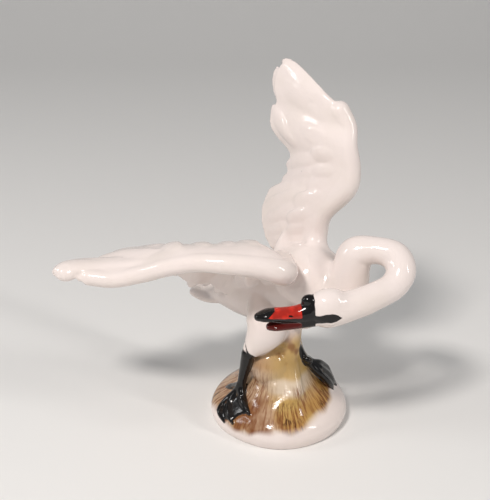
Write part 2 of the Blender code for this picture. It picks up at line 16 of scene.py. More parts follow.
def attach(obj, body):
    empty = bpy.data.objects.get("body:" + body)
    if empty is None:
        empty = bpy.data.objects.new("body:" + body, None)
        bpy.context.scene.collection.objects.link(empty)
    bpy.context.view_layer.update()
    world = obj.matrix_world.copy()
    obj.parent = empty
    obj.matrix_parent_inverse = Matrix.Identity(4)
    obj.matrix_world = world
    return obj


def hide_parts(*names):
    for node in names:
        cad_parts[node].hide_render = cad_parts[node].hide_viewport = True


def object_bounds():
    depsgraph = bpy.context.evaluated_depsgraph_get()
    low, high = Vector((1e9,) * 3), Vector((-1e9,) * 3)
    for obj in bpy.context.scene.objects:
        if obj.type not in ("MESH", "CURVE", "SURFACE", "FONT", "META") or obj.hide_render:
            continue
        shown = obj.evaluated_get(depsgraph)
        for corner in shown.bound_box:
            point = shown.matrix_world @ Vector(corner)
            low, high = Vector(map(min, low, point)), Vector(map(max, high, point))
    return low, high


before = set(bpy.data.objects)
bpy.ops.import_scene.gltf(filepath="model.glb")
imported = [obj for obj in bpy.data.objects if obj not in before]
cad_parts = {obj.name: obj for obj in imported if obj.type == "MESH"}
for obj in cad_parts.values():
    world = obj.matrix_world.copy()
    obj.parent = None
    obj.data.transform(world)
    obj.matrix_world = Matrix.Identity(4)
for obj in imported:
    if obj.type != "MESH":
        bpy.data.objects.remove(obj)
cad_box = [list(map(float, corner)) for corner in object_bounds()]
print("cast part's box", np.round(cad_box, 4).tolist())

# %% [markdown]
# ## Curves and tubes
#
# A modeller works from a few landmarks and lets the clay run smoothly between them. `curve` does
# that for numbers and places, `sweep` rolls a tube along a line, and every form is a closed shell, as
# only closed shells can be fused into one skin later.

# %% Helpers for smooth forms
def unit(vectors):
    return vectors / np.linalg.norm(vectors, axis=-1, keepdims=True)


def curve(knots, values, at):
    """A smooth curve through the values at their knots, straight on past its ends."""
    knots, values, at = (np.asarray(a, float) for a in (knots, values, at))
    inside = np.clip(at, knots[0], knots[-1])
    slopes = np.gradient(values, knots, axis=0)
    i = np.clip(np.searchsorted(knots, inside) - 1, 0, len(knots) - 2)
    gap = knots[i + 1] - knots[i]
    t = (inside - knots[i]) / gap
    past = at - inside
    if values.ndim > 1:
        t, gap, past = t[..., None], gap[..., None], past[..., None]
    return (
        values[i] * (2 * t**3 - 3 * t**2 + 1)
        + values[i + 1] * (3 * t**2 - 2 * t**3)
        + slopes[i] * gap * (t**3 - 2 * t**2 + t)
        + slopes[i + 1] * gap * (t**3 - t**2)
        + np.where(past < 0, slopes[0], slopes[-1]) * past
    )


def shell(rings):
    """A closed skin over a stack of equal rings, with a fan of triangles at each end."""
    rings = np.asarray(rings, float)
    count, around = rings.shape[:2]
    points = np.vstack([rings.reshape(-1, 3), rings[0].mean(0), rings[-1].mean(0)])
    j = np.arange(around)
    k = (j + 1) % around
    faces = []
    for i in range(count - 1):
        a, b = i * around, (i + 1) * around
        faces += np.stack([a + j, a + k, b + k, b + j], axis=1).tolist()
    cap = count * around
    faces += np.stack([np.full_like(j, cap), k, j], axis=1).tolist()
    faces += np.stack([np.full_like(j, cap + 1), cap - around + j, cap - around + k], axis=1).tolist()
    return points, faces


def sweep(centres, half_widths, half_heights, up=(0, 0, 1), around=44, end_rings=9):
    """An oval tube along a line of centres, its ends rounded."""
    centres = np.asarray(centres, float)
    half_widths = np.broadcast_to(half_widths, len(centres))
    half_heights = np.broadcast_to(half_heights, len(centres))
    along = unit(np.gradient(centres, axis=0))
    side = unit(np.cross(along, np.asarray(up, float)))
    over = np.cross(side, along)
    turn = np.linspace(0, 2 * math.pi, around, endpoint=False)
    closing = np.linspace(math.pi / 2 - 0.05, 0, end_rings, endpoint=False)
    rings = [(centres[i], 1.0, i) for i in range(len(centres))]
    for end, sign in ((0, -1), (-1, 1)):
        depth = min(half_widths[end], half_heights[end])
        caps = [(centres[end] + sign * along[end] * depth * math.sin(a), math.cos(a), end) for a in closing]
        rings = caps + rings if end == 0 else rings + caps[::-1]
    return shell(
        [
            middle
            + share * half_widths[i] * np.cos(turn)[:, None] * side[i]
            + share * half_heights[i] * np.sin(turn)[:, None] * over[i]
            for middle, share, i in rings
        ]
    )


def ellipsoid(centre, radii, axes=np.eye(3), around=48, rows=30):
    tilt = np.linspace(-math.pi / 2 + 0.03, math.pi / 2 - 0.03, rows)[:, None]
    turn = np.linspace(0, 2 * math.pi, around, endpoint=False)[None, :]
    ball = np.stack(
        [np.cos(tilt) * np.cos(turn), np.cos(tilt) * np.sin(turn), np.sin(tilt) + 0 * turn], axis=-1
    )
    return shell(np.asarray(centre) + (ball * np.asarray(radii)) @ np.asarray(axes))


def mesh_object(name, parts):
    points, faces, start = [], [], 0
    for part_points, part_faces in parts:
        points.append(part_points)
        faces += [[start + i for i in face] for face in part_faces]
        start += len(part_points)
    mesh = bpy.data.meshes.new(name)
    mesh.from_pydata(np.vstack(points).tolist(), [], faces)
    obj = bpy.data.objects.new(name, mesh)
    bpy.context.scene.collection.objects.link(obj)
    return obj


# %% [markdown]
# ## The rocky mound
#
# A low round rock carries the bird. Its outline is a profile turned round the middle, then pushed out
# here and there into boulders. Seen from below it is a cup: the slip is poured out of it, which
# leaves a foot ring and a hollow.

# %% The mound
BASE_HALF_WIDTH, BASE_HALF_DEPTH, MOUND_HEIGHT = 0.0288, 0.0298, 0.0340
FOOT_WALL, HOLLOW_DEPTH, SUPPORT_RADIUS = 0.0036, 0.0220, 0.0040

# height share, radius share
MOUND_PROFILE = np.array(
    [
        (-0.10, 0.925), (0.00, 0.955), (0.07, 0.990), (0.15, 1.000), (0.23, 0.955),
        (0.32, 0.835), (0.43, 0.690), (0.53, 0.575), (0.63, 0.490), (0.76, 0.410),
        (0.88, 0.355), (1.12, 0.300),
    ]
)
# swellings of the rock: azimuth, height share, half breadth in degrees, half height, rise
ROCKS = (
    (-38, 0.76, 30, 0.17, 0.040), (4, 0.50, 16, 0.09, 0.040), (-9, 0.65, 13, 0.07, 0.055),
    (26, 0.60, 12, 0.07, 0.050), (-30, 0.52, 14, 0.06, 0.035), (32, 0.27, 24, 0.06, 0.028),
    (-14, 0.30, 18, 0.07, 0.022), (55, 0.42, 12, 0.10, 0.025), (6, 0.44, 9, 0.06, -0.030),
    (18, 0.58, 15, 0.16, 0.085), (30, 0.95, 20, 0.22, 0.070), (-12, 0.40, 24, 0.10, 0.035),
    (94, 0.60, 34, 0.18, 0.055), (160, 0.62, 34, 0.20, 0.060), (-140, 0.50, 26, 0.16, 0.030),
    (-96, 0.42, 34, 0.12, -0.085), (-58, 0.04, 32, 0.14, 0.024),
)


def on_mound(azimuth, height_share, lift=0.0):
    """A point on the mound. Azimuth is in degrees, 0 at the front and 90 at +X."""
    azimuth = np.asarray(azimuth, float)
    height_share = np.asarray(height_share, float)
    share = curve(MOUND_PROFILE[:, 0], MOUND_PROFILE[:, 1], height_share)
    for rock_azimuth, rock_height, breadth, height, rise in ROCKS:
        turn = (azimuth - rock_azimuth + 180) % 360 - 180
        share = share + rise * np.exp(-((turn / breadth) ** 2) - ((height_share - rock_height) / height) ** 2)
    a = np.radians(azimuth)
    share = share * (1 + 0.010 * np.sin(a) + 0.012 * np.sin(3 * a + 0.6) + 0.008 * np.sin(5 * a + 1.9))
    x = (BASE_HALF_WIDTH * share + lift) * np.sin(a)
    y = -(BASE_HALF_DEPTH * share + lift) * np.cos(a)
    return np.stack(np.broadcast_arrays(x, y, MOUND_HEIGHT * height_share), axis=-1)


azimuths = np.linspace(0, 360, 160, endpoint=False)
outside = [on_mound(azimuths, h) for h in np.linspace(1.12, 0, 90)]
foot = [on_mound(azimuths, 0, -FOOT_WALL * s) for s in (0.25, 0.5, 0.75)]
inside = []
for share in np.linspace(0, 0.999, 24):
    close = math.sqrt(1 - share**3)
    inside.append(on_mound(azimuths, share * HOLLOW_DEPTH / MOUND_HEIGHT, -FOOT_WALL) * (close, close, 1))
mound = shell(outside + foot + inside)
print("mound of", len(mound[0]), "points")

# %% [markdown]
# ## The body
#
# The swan leans back on its legs with the breast turned to the right of the picture. `on_body` gives
# places in shares of the body's half length, half width and half height, so that the limbs keep
# their seats if the body changes.

# %% Body and tail
BODY_LENGTH, BODY_HALF_WIDTH, BODY_HALF_HEIGHT, BODY_LIFT = 0.0740, 0.0140, 0.0145, 0.0215
BODY_YAW, BODY_PITCH = math.radians(-38), math.radians(16)
TAIL_LENGTH, TAIL_THICKNESS = 0.0232, 0.0034

BODY_MIDDLE = np.array([-0.0010, 0.0060, MOUND_HEIGHT + BODY_LIFT])
FORWARD = np.array(
    [
        math.cos(BODY_YAW) * math.cos(BODY_PITCH),
        math.sin(BODY_YAW) * math.cos(BODY_PITCH),
        math.sin(BODY_PITCH),
    ]
)
RIGHT = unit(np.cross(FORWARD, (0, 0, 1)))
UPWARD = np.cross(RIGHT, FORWARD)


def on_body(forward, right, up):
    """A place in the body, in shares of its half length, half width and half height."""
    return (
        BODY_MIDDLE
        + FORWARD * forward * BODY_LENGTH / 2
        + RIGHT * right * BODY_HALF_WIDTH
        + UPWARD * up * BODY_HALF_HEIGHT
    )


# place along the body, rise of the spine, width and height shares
BODY_STATIONS = np.array(
    [
        (-1.00, 0.00, 0.40, 0.24), (-0.75, -0.04, 0.60, 0.45), (-0.50, -0.06, 0.78, 0.69),
        (-0.20, -0.02, 0.95, 0.92), (0.10, 0.02, 1.00, 1.00), (0.38, 0.10, 0.93, 0.93),
        (0.60, 0.20, 0.72, 0.72),
    ]
)
along = np.linspace(-1, 0.6, 70)
rise, width, height = curve(BODY_STATIONS[:, 0], BODY_STATIONS[:, 1:], along).T
spine = np.array([on_body(f, 0, u) for f, u in zip(along, rise)])
BODY_AXES = (FORWARD, RIGHT, UPWARD)
belly = np.array([0.72, 0.66, 0.62]) * BODY_HALF_WIDTH
shoulders = np.array([0.72, 0.85, 0.56]) * BODY_HALF_WIDTH
body = [
    sweep(spine, width * BODY_HALF_WIDTH, height * BODY_HALF_HEIGHT, up=UPWARD, around=64),
    ellipsoid(on_body(0.00, 0.46, -0.88), belly, BODY_AXES),
    ellipsoid(on_body(0.52, -0.22, 0.62), shoulders, BODY_AXES),
    ellipsoid(on_body(0.18, 0.05, 0.62), shoulders, BODY_AXES),
]

tail_root = on_body(-0.55, 0.04, -0.08)
for spread in (-0.34, -0.17, 0, 0.17, 0.34):
    heading = -FORWARD * math.cos(spread) + RIGHT * math.sin(spread) - UPWARD * 0.06
    tip = tail_root + heading * (TAIL_LENGTH - 0.006 * abs(spread))
    share = np.linspace(0, 1, 30)[:, None]
    quill = tail_root * (1 - share) + tip * share + UPWARD * 0.004 * (share * (share - 1) + share**4)
    wide = TAIL_THICKNESS * (1.25 - 0.25 * share[:, 0] ** 3)
    body.append(sweep(quill, wide, TAIL_THICKNESS * 0.72 * (1 - 0.2 * share[:, 0]), up=UPWARD, around=28))

at = np.linspace(0, 2, 40)
support = [on_mound(22, 0.55, -0.0045), on_mound(28, 0.88, -0.0040), on_body(0.16, 0.32, -0.95)]
support_radius = curve([0, 1, 2], (1.0, 1.0, 1.35), at) * SUPPORT_RADIUS
rocks = [
    mound,
    sweep(curve([0, 1, 2], support, at), support_radius, support_radius, up=(0, 1, 0.1)),
    ellipsoid(on_mound(-30, 0.80, -0.0040), (0.0086, 0.0078, 0.0092)),
]
print("body in", len(body), "forms")

# %% [markdown]
# ## Neck, head and bill
#
# The neck leaves the breast, rises beside the raised wing, bends over to the right and comes back in
# front, so that the head lies across the breast. It keeps nearly the same thickness all the way.

# %% Neck, head and bill
NECK_REACH, NECK_RADIUS = 0.0400, 0.0054
HEAD_HALF_HEIGHT, HEAD_HALF_WIDTH = 0.0080, 0.0062
BILL_LENGTH, BILL_HALF_WIDTH, BILL_HALF_HEIGHT = 0.0215, 0.0036, 0.0028
KNOB_RADIUS, EYE_RADIUS = 0.0025, 0.0016

# shares of the neck's reach from its root: place and radius
NECK_ROUTE = np.array(
    [
        (-0.150, -0.030, -0.230, 1.50), (0.080, -0.090, -0.090, 1.50),
        (0.271, -0.118, 0.086, 1.48), (0.303, -0.118, 0.273, 1.38),
        (0.352, -0.118, 0.430, 1.27), (0.537, -0.168, 0.486, 0.99),
        (0.705, -0.243, 0.455, 1.09), (0.755, -0.368, 0.360, 1.08),
        (0.674, -0.468, 0.252, 1.00), (0.505, -0.568, 0.200, 1.00),
        (0.310, -0.643, 0.147, 1.09), (0.128, -0.693, 0.107, 1.15),
    ]
)
NECK_ROOT = on_body(0.62, 0.10, 0.16)
NECK_LINE = NECK_ROOT + NECK_ROUTE[:, :3] * NECK_REACH
BILL_HEADING = unit(np.array([-0.985, -0.10, -0.03]))
BILL_UP = unit(np.array([-0.03, 0.0, 1.0]))
BILL_SIDE = unit(np.cross(BILL_UP, BILL_HEADING))
CROWN_UP = np.cross(BILL_HEADING, BILL_SIDE)
HEAD_AXES = np.array([BILL_HEADING, BILL_SIDE, CROWN_UP])
HEAD_MIDDLE = NECK_LINE[-1] + (BILL_HEADING * 0.38 + CROWN_UP * 0.16) * HEAD_HALF_HEIGHT
BILL_ROOT = HEAD_MIDDLE + (BILL_HEADING * 0.70 - CROWN_UP * 0.12) * HEAD_HALF_HEIGHT

knots = np.arange(len(NECK_LINE))
at = np.linspace(0, knots[-1], 240)
neck_radius = curve(knots, NECK_ROUTE[:, 3], at) * NECK_RADIUS
head = [
    sweep(curve(knots, NECK_LINE, at), neck_radius, neck_radius, up=(0.15, 1, 0.2), around=56),
    ellipsoid(
        HEAD_MIDDLE,
        (HEAD_HALF_HEIGHT * 1.10, HEAD_HALF_WIDTH, HEAD_HALF_HEIGHT * 0.98),
        HEAD_AXES,
    ),
]
for side in (-1, 1):
    eye = HEAD_MIDDLE + BILL_SIDE * side * HEAD_HALF_WIDTH * 0.84 - CROWN_UP * HEAD_HALF_HEIGHT * 0.40
    head.append(ellipsoid(eye, (EYE_RADIUS, EYE_RADIUS * 0.6, EYE_RADIUS), HEAD_AXES))

share = np.linspace(0, 1, 50)
width = curve([0, 0.3, 0.7, 0.92, 1], [1.15, 0.95, 1.0, 0.92, 0.62], share) * BILL_HALF_WIDTH
height = curve([0, 0.25, 0.6, 0.9, 1], [1.75, 1.3, 0.95, 0.75, 0.55], share) * BILL_HALF_HEIGHT
drop = curve([0, 0.3, 0.8, 1], [0.14, -0.18, -0.04, -0.18], share) * BILL_HALF_HEIGHT
upper = BILL_ROOT + share[:, None] * BILL_HEADING * BILL_LENGTH + drop[:, None] * CROWN_UP
gape = curve([0, 0.4, 1], [-1.25, -1.60, -1.80], share) * BILL_HALF_HEIGHT
lower = BILL_ROOT + share[:, None] * BILL_HEADING * BILL_LENGTH * 0.80 + gape[:, None] * CROWN_UP
thin = curve([0, 0.5, 1], [0.80, 0.62, 0.52], share) * BILL_HALF_HEIGHT
head += [
    sweep(upper, width, height, up=CROWN_UP),
    sweep(lower, width * 0.90, thin, up=CROWN_UP),
    ellipsoid(
        BILL_ROOT + (BILL_HEADING * 0.8 + CROWN_UP * 1.9) * KNOB_RADIUS,
        (KNOB_RADIUS * 1.25, KNOB_RADIUS * 0.95, KNOB_RADIUS),
        HEAD_AXES,
    ),
]
print("neck and head in", len(head), "forms")

# %% [markdown]
# ## Legs and webbed feet
#
# A feathered thigh narrows into a bare black leg, and three toes with a web between them lie on the
# slope of the rock. The toes taper to claws and the web is drawn in between them, as skin is. Legs
# this thin only survive firing because the rock holds up the body behind them.

# %% Legs and feet
THIGH_RADIUS, LEG_RADIUS, TOE_RADIUS, WEB_THICKNESS = 0.0080, 0.0020, 0.0014, 0.0024
LEG_UP, FOOT_UP = (0, 1, 0.1), (0.3, 0.2, 1)

# hip and knee are places in the body, with thigh radii at hip, knee and ankle; the rest are azimuth,
# height share and, where there is a third number, the height over the rock
LEGS = {
    "right": {
        "hip": (0.00, 0.52, -0.12),
        "knee": (0.05, 1.05, -0.80),
        "thigh": (1.05, 1.05, 0.37),
        "ankle": (-49, 1.04, 0.0086),
        "heel": (-60, 0.58, 0.0034),
        "toes": ((-67, 0.31, -54, 0.175), (-61, 0.36, -45, 0.210), (-51, 0.45, -33, 0.345)),
        "spur": (-95, 0.33),
        "sole": (-62, 0.46),
        "instep": 0.0006,
    },
    "left": {
        "hip": (0.00, -0.20, -0.40),
        "knee": (-0.02, -0.05, -1.05),
        "thigh": (0.80, 0.56, 0.28),
        "ankle": (54, 1.00, -0.0018),
        "heel": (62, 0.86, 0.0006),
        "toes": ((71, 0.62, 85, 0.37), (82, 0.64, 99, 0.31), (94, 0.66, 114, 0.28)),
        "spur": (54, 0.90),
        "sole": (72, 0.80),
        "instep": 0.0030,
    },
}


def along_foot(leg, toe, share, lift):
    """The way from the heel to the tip of a toe, bending on its way down the mound."""
    azimuth, height, heel_lift = leg["heel"]
    way = curve([0, 0.5, 1], [(azimuth, height), toe[:2], toe[2:]], share)
    rise = heel_lift * (1 - share) ** 2 + leg["instep"] * 4 * share * (1 - share)
    return on_mound(way[..., 0], way[..., 1], lift + rise)


thighs, shins = [], []
for leg in LEGS.values():
    hip, knee = on_body(*leg["hip"]), on_body(*leg["knee"])
    ankle = on_mound(*leg["ankle"])
    at = np.linspace(0, 2, 44)
    radius = curve([0, 1, 2], leg["thigh"], at) * THIGH_RADIUS
    thighs.append(sweep(curve([0, 1, 2], [hip, knee, ankle], at), radius, radius, up=LEG_UP))
    low = on_mound(*leg["sole"], 0.0002)
    width = curve([0, 0.8, 2], [1.45, 1.0, 1.30], at) * LEG_RADIUS
    shin_line = curve([0, 1, 2], [ankle, on_mound(*leg["heel"]), low], at)
    shins.append(sweep(shin_line, width, width, up=LEG_UP))

    toes = np.array(leg["toes"], float)
    share = np.linspace(0, 1, 40)
    claw = np.minimum(1, (1.04 - share) / 0.24) ** 0.7
    knuckles = 1 + 0.08 * np.cos(share * 6 * math.pi)
    radius = TOE_RADIUS * knuckles * (1.10 - 0.25 * share) * claw
    for toe in toes:
        way = along_foot(leg, toe, share, TOE_RADIUS * 0.5)
        shins.append(sweep(way, radius, radius, up=FOOT_UP, around=24))
    across = np.linspace(0, 2, 48)
    reach = 0.93 - 0.05 * np.sin(across * math.pi) ** 2
    rings = []
    for toe, most in zip(curve([0, 1, 2], toes, across), reach):
        outer = along_foot(leg, toe, share * most, WEB_THICKNESS * 0.5)
        inner = along_foot(leg, toe, share * most, -WEB_THICKNESS)
        rings.append(np.vstack([outer, inner[::-1]]))
    shins.append(shell(rings))
    spur = np.array([*np.add(leg["heel"][:2], leg["spur"]) / 2, *leg["spur"]])
    radius = TOE_RADIUS * claw[::3]
    way = along_foot(leg, spur, share[::3], 0.0004)
    shins.append(sweep(way, radius, radius, up=FOOT_UP, around=20))
print("legs in", len(thighs) + len(shins), "forms")

# %% [markdown]
# ## The wings
#
# A wing is a curved sheet between the arm, its leading edge, and the line of the feather tips. Place
# `u` runs from the shoulder to the hand and `v` from the arm to the tips. Everything on the wing is
# laid out flat in `u` and `v` first.

# %% The wing sheets
WING_REACH, ARM_RADIUS, WING_THICKNESS = 0.1000, 0.0040, 0.0024


class Wing:
    """A bulging sheet between an arm and a row of tips; dorsal is 1 or -1, the side it bulges to."""

    def __init__(self, shoulder, arm, tips, bulge, bend, web_end, feathers, dorsal):
        arm, tips = np.asarray(arm, float), np.asarray(tips, float)
        self.arm_at, self.arm = arm[:, 0], shoulder + arm[:, 1:4] * WING_REACH
        self.arm_radius = arm[:, 4] * ARM_RADIUS
        self.tips_at, self.tips = tips[:, 0], shoulder + tips[:, 1:4] * WING_REACH
        self.bulge, self.bend, self.web_end = (np.asarray(a, float) for a in (bulge, bend, web_end))
        self.feathers, self.dorsal = feathers, dorsal

    def at(self, u, v):
        u, v = np.broadcast_arrays(np.asarray(u, float), np.asarray(v, float))
        root = curve(self.arm_at, self.arm, u)
        tip = curve(self.tips_at, self.tips, u)
        ahead = curve(self.arm_at, self.arm, np.clip(u, 0.05, 0.95) + 0.05)
        behind = curve(self.arm_at, self.arm, np.clip(u, 0.05, 0.95) - 0.05)
        shaft = tip - root
        outward = unit(np.cross(shaft, ahead - behind)) * self.dorsal
        inward = unit(np.cross(shaft, outward)) * self.dorsal
        bulge = curve(self.bulge[:, 0], self.bulge[:, 1], u) * WING_REACH
        bend = curve(self.bend[:, 0], self.bend[:, 1], u) * WING_REACH
        v_in = np.clip(v, 0, 1)
        arch = v_in**0.8 * (1 - v_in) ** 1.3 / 0.2377
        return (
            root
            + shaft * v[..., None]
            + outward * (bulge * arch)[..., None]
            + inward * (bend * 4 * v * (1 - v))[..., None]
        )

    def normal(self, u, v):
        step = 0.015
        u, v = np.clip(u, step, 1 - step), np.clip(v, step, 1 - step)
        du = self.at(u + step, v) - self.at(u - step, v)
        dv = self.at(u, v + step) - self.at(u, v - step)
        return unit(np.cross(dv, du)) * self.dorsal

    def lifted(self, u, v, lift):
        u, v, lift = np.broadcast_arrays(u, v, lift)
        return self.at(u, v) + self.normal(u, v) * lift[..., None]

    def arm_form(self):
        at = np.linspace(0, 1, 140)
        radius = curve(self.arm_at, self.arm_radius, at)
        return sweep(curve(self.arm_at, self.arm, at), radius, radius, up=(0.4, 1, 0.3))

    def web_form(self):
        rings = []
        for u in np.linspace(0.0, 1.0, 150):
            v = np.linspace(0.0, float(curve(self.web_end[:, 0], self.web_end[:, 1], u)), 70)
            radius = curve(self.arm_at, self.arm_radius, u)
            swell = (1 - np.clip(v / 0.4, 0, 1)) ** 1.5
            half = WING_THICKNESS / 2 + (radius * 0.85 - WING_THICKNESS / 2) * swell
            top = self.lifted(np.full_like(v, u), v, half)
            bottom = self.lifted(np.full_like(v, u), v, -half * 0.8)
            rings.append(np.vstack([top, bottom[::-1]]))
        return shell(rings)


# %% [markdown]
# ## The two wings
#
# One wing is raised high and the other is spread low, but both are the same kind of sheet. Each has
# the course of its arm, the line of its tips, how far it bulges and bends, and how far the clay web
# between the feathers reaches. The lobes of the outline come from the feathers, not from the web.

# %% The two wings
# each row of the arm and of the tips starts with its place u; lengths are in shares of the wing's
# reach from the shoulder, and the arm's last number is its thickness
# feathers: root u and v, tip u and v, half width, half thickness and lift in millimetres
RAISED_WING = Wing(
    shoulder=on_body(0.24, -0.60, 0.62),
    arm=[
        (0.00, 0.044, -0.029, 0.073, 1.38), (0.14, 0.054, -0.019, 0.154, 1.22),
        (0.28, 0.077, -0.029, 0.237, 1.06), (0.45, 0.160, -0.049, 0.356, 1.29),
        (0.60, 0.178, -0.049, 0.434, 1.08), (0.75, 0.166, -0.039, 0.526, 0.98),
        (0.88, 0.166, -0.009, 0.595, 0.92), (1.00, 0.134, 0.014, 0.652, 1.02),
    ],
    tips=[
        (0.00, -0.128, 0.131, 0.013), (0.13, -0.153, 0.171, 0.055), (0.26, -0.164, 0.211, 0.135),
        (0.38, -0.141, 0.231, 0.219), (0.48, -0.079, 0.216, 0.293), (0.58, -0.059, 0.201, 0.366),
        (0.66, -0.076, 0.221, 0.424), (0.74, -0.135, 0.241, 0.501), (0.84, -0.148, 0.261, 0.598),
        (0.91, -0.141, 0.251, 0.703), (0.96, -0.088, 0.221, 0.802), (1.00, -0.019, 0.181, 0.765),
    ],
    bulge=[(0, 0.02), (0.4, 0.04), (0.8, 0.04), (1, 0.02)],
    bend=[(0, 0.00), (0.5, 0.01), (0.75, -0.04), (1, -0.01)],
    web_end=[
        (0, 0.94), (0.43, 0.94), (0.50, 0.91), (0.57, 0.95), (0.635, 0.86),
        (0.70, 0.92), (0.80, 0.92), (0.86, 0.84), (0.94, 0.92), (1, 0.92),
    ],
    feathers=[
        (0.10, 0.25, 0.02, 1.00, 4.6, 1.7, -0.1), (0.22, 0.25, 0.10, 1.00, 4.6, 1.7, 0.0),
        (0.33, 0.25, 0.19, 1.00, 4.6, 1.7, 0.1), (0.43, 0.25, 0.28, 1.00, 4.6, 1.7, 0.2),
        (0.51, 0.25, 0.38, 0.99, 4.6, 1.7, 0.3), (0.58, 0.25, 0.47, 0.97, 4.4, 1.7, 0.4),
        (0.64, 0.25, 0.56, 1.00, 4.4, 1.7, 0.5), (0.655, 0.66, 0.84, 0.91, 4.8, 1.6, 0.5),
        (0.81, 0.20, 0.935, 0.985, 8.0, 1.4, 0.1), (0.96, 0.10, 0.962, 1.00, 4.0, 1.4, 0.3),
        (0.72, 0.05, 0.74, 0.52, 4.6, 1.4, 0.6), (0.85, 0.05, 0.86, 0.46, 4.6, 1.4, 0.7),
        (0.95, 0.02, 0.95, 0.40, 4.0, 1.4, 0.7),
    ],
    dorsal=-1,
)
SPREAD_WING = Wing(
    shoulder=on_body(0.26, 0.55, 0.60),
    arm=[
        (0.00, 0.002, -0.017, 0.077, 1.20), (0.08, 0.010, -0.117, 0.099, 1.22),
        (0.20, 0.003, -0.207, 0.122, 1.29), (0.35, -0.081, -0.237, 0.158, 1.09),
        (0.50, -0.221, -0.237, 0.174, 0.99), (0.62, -0.335, -0.217, 0.169, 0.90),
        (0.75, -0.452, -0.187, 0.133, 0.91), (0.86, -0.552, -0.157, 0.090, 0.88),
        (0.94, -0.663, -0.142, 0.061, 0.84), (1.00, -0.750, -0.128, 0.064, 0.84),
    ],
    tips=[
        (0.00, -0.075, 0.063, -0.135), (0.12, -0.166, 0.123, -0.138),
        (0.24, -0.247, 0.153, -0.168), (0.36, -0.310, 0.173, -0.136),
        (0.48, -0.391, 0.173, -0.140), (0.58, -0.469, 0.183, -0.070),
        (0.68, -0.560, 0.163, 0.041), (0.78, -0.688, 0.093, 0.074),
        (0.86, -0.763, 0.043, 0.071), (0.94, -0.914, -0.047, 0.083),
        (1.00, -0.832, -0.152, 0.055),
    ],
    bulge=[(0, 0.06), (0.2, 0.100), (0.35, 0.115), (0.48, 0.097), (0.60, 0.066), (0.75, 0.025), (1, 0.01)],
    bend=[(0, 0), (1, 0)],
    web_end=[(0, 0.95), (0.3, 0.93), (0.5, 0.90), (0.78, 0.86), (0.88, 0.70), (1, 0.50)],
    feathers=[
        (0.06, 0.25, 0.02, 1.00, 4.4, 1.7, -0.1), (0.14, 0.25, 0.11, 0.98, 4.4, 1.7, 0.0),
        (0.22, 0.25, 0.20, 0.98, 4.4, 1.7, 0.1), (0.30, 0.25, 0.29, 0.99, 4.4, 1.7, 0.1),
        (0.38, 0.25, 0.38, 0.98, 4.4, 1.7, 0.1), (0.46, 0.25, 0.47, 0.97, 4.4, 1.7, 0.1),
        (0.54, 0.25, 0.56, 0.97, 4.4, 1.7, 0.1), (0.62, 0.25, 0.65, 0.97, 4.2, 1.7, 0.1),
        (0.68, 0.30, 0.74, 0.95, 4.6, 1.4, 0.1), (0.72, 0.10, 0.86, 0.86, 5.4, 2.0, 0.3),
        (0.82, 0.10, 0.95, 0.825, 5.8, 2.4, 0.0),
    ],
    dorsal=1,
)
webs = [form for wing in (RAISED_WING, SPREAD_WING) for form in (wing.arm_form(), wing.web_form())]
print("wing sheets of", len(webs[1][0]), "points each")

# %% [markdown]
# ## Mantle and hand
#
# The mantle is a fold of clay that carries the root of the raised wing over the shoulder into the
# breast, so the thin wing stands on a broad foot. The hand of the spread wing ends in a thick round
# lobe, because a thin tip would break as it leaves the mould.

# %% Mantle and hand
mantle_line = [
    RAISED_WING.lifted(0.24, 0.28, -WING_THICKNESS),
    RAISED_WING.at(0.02, 0.40),
    on_body(0.44, 0.16, 0.76),
    on_body(0.57, 0.28, 0.36),
    on_body(0.58, 0.24, -0.30),
]
at = np.linspace(0, 4, 70)
mantle_width = curve(range(5), (0.0028, 0.0072, 0.0124, 0.0120, 0.0084), at)
mantle_depth = curve(range(5), (0.0014, 0.0036, 0.0070, 0.0082, 0.0070), at)
body.append(sweep(curve(range(5), mantle_line, at), mantle_width, mantle_depth, up=(0, -1, 0.3), around=64))

hand = [(0.74, 0.20), (0.87, 0.46), (0.94, 0.65), (0.970, 0.785)]
at = np.linspace(0, 3, 50)
hand_line = curve(range(4), [SPREAD_WING.at(u, v) for u, v in hand], at)
hand_width = curve(range(4), (0.0030, 0.0048, 0.0058, 0.0052), at)
hand_depth = curve(range(4), (0.0012, 0.0022, 0.0030, 0.0032), at)
webs.append(sweep(hand_line, hand_width, hand_depth, up=SPREAD_WING.normal(0.85, 0.7)))
print("wings, mantle and hand in", len(webs) + 1, "forms")

# %% [markdown]
# ## One feather and a map of the wing
#
# All feathers are pressed from one blank: a blunt paddle, thickest along its shaft, whose root fades
# out so that it sinks into the wing. The sheet is the wing's surface as a fine net. Each of its points
# knows its own `u` and `v` and which way is out.

# %% The feather blank and the sheet
SHEET_MARGIN = 0.12


def feather_blank():
    """Across from -1 to 1 in x, root to tip from 0 to 1 in y, underside to face from -1 to 1 in z."""
    turn = np.linspace(0, 2 * math.pi, 28, endpoint=False)
    rings = []
    for share in np.sin(np.linspace(0.02, math.pi / 2 - 0.02, 44)):
        width = (1 - share**4.5) ** 0.5 * (0.82 + 0.18 * share)
        body = (1 - 0.2 * share) * max(math.sqrt(1 - share**5), 0.1)
        body *= min(share / 0.3, 1) ** 0.5
        rings.append(np.stack([np.cos(turn) * width, np.full_like(turn, share), np.sin(turn) * body], axis=1))
    return mesh_object("feather_blank", [shell(rings)])


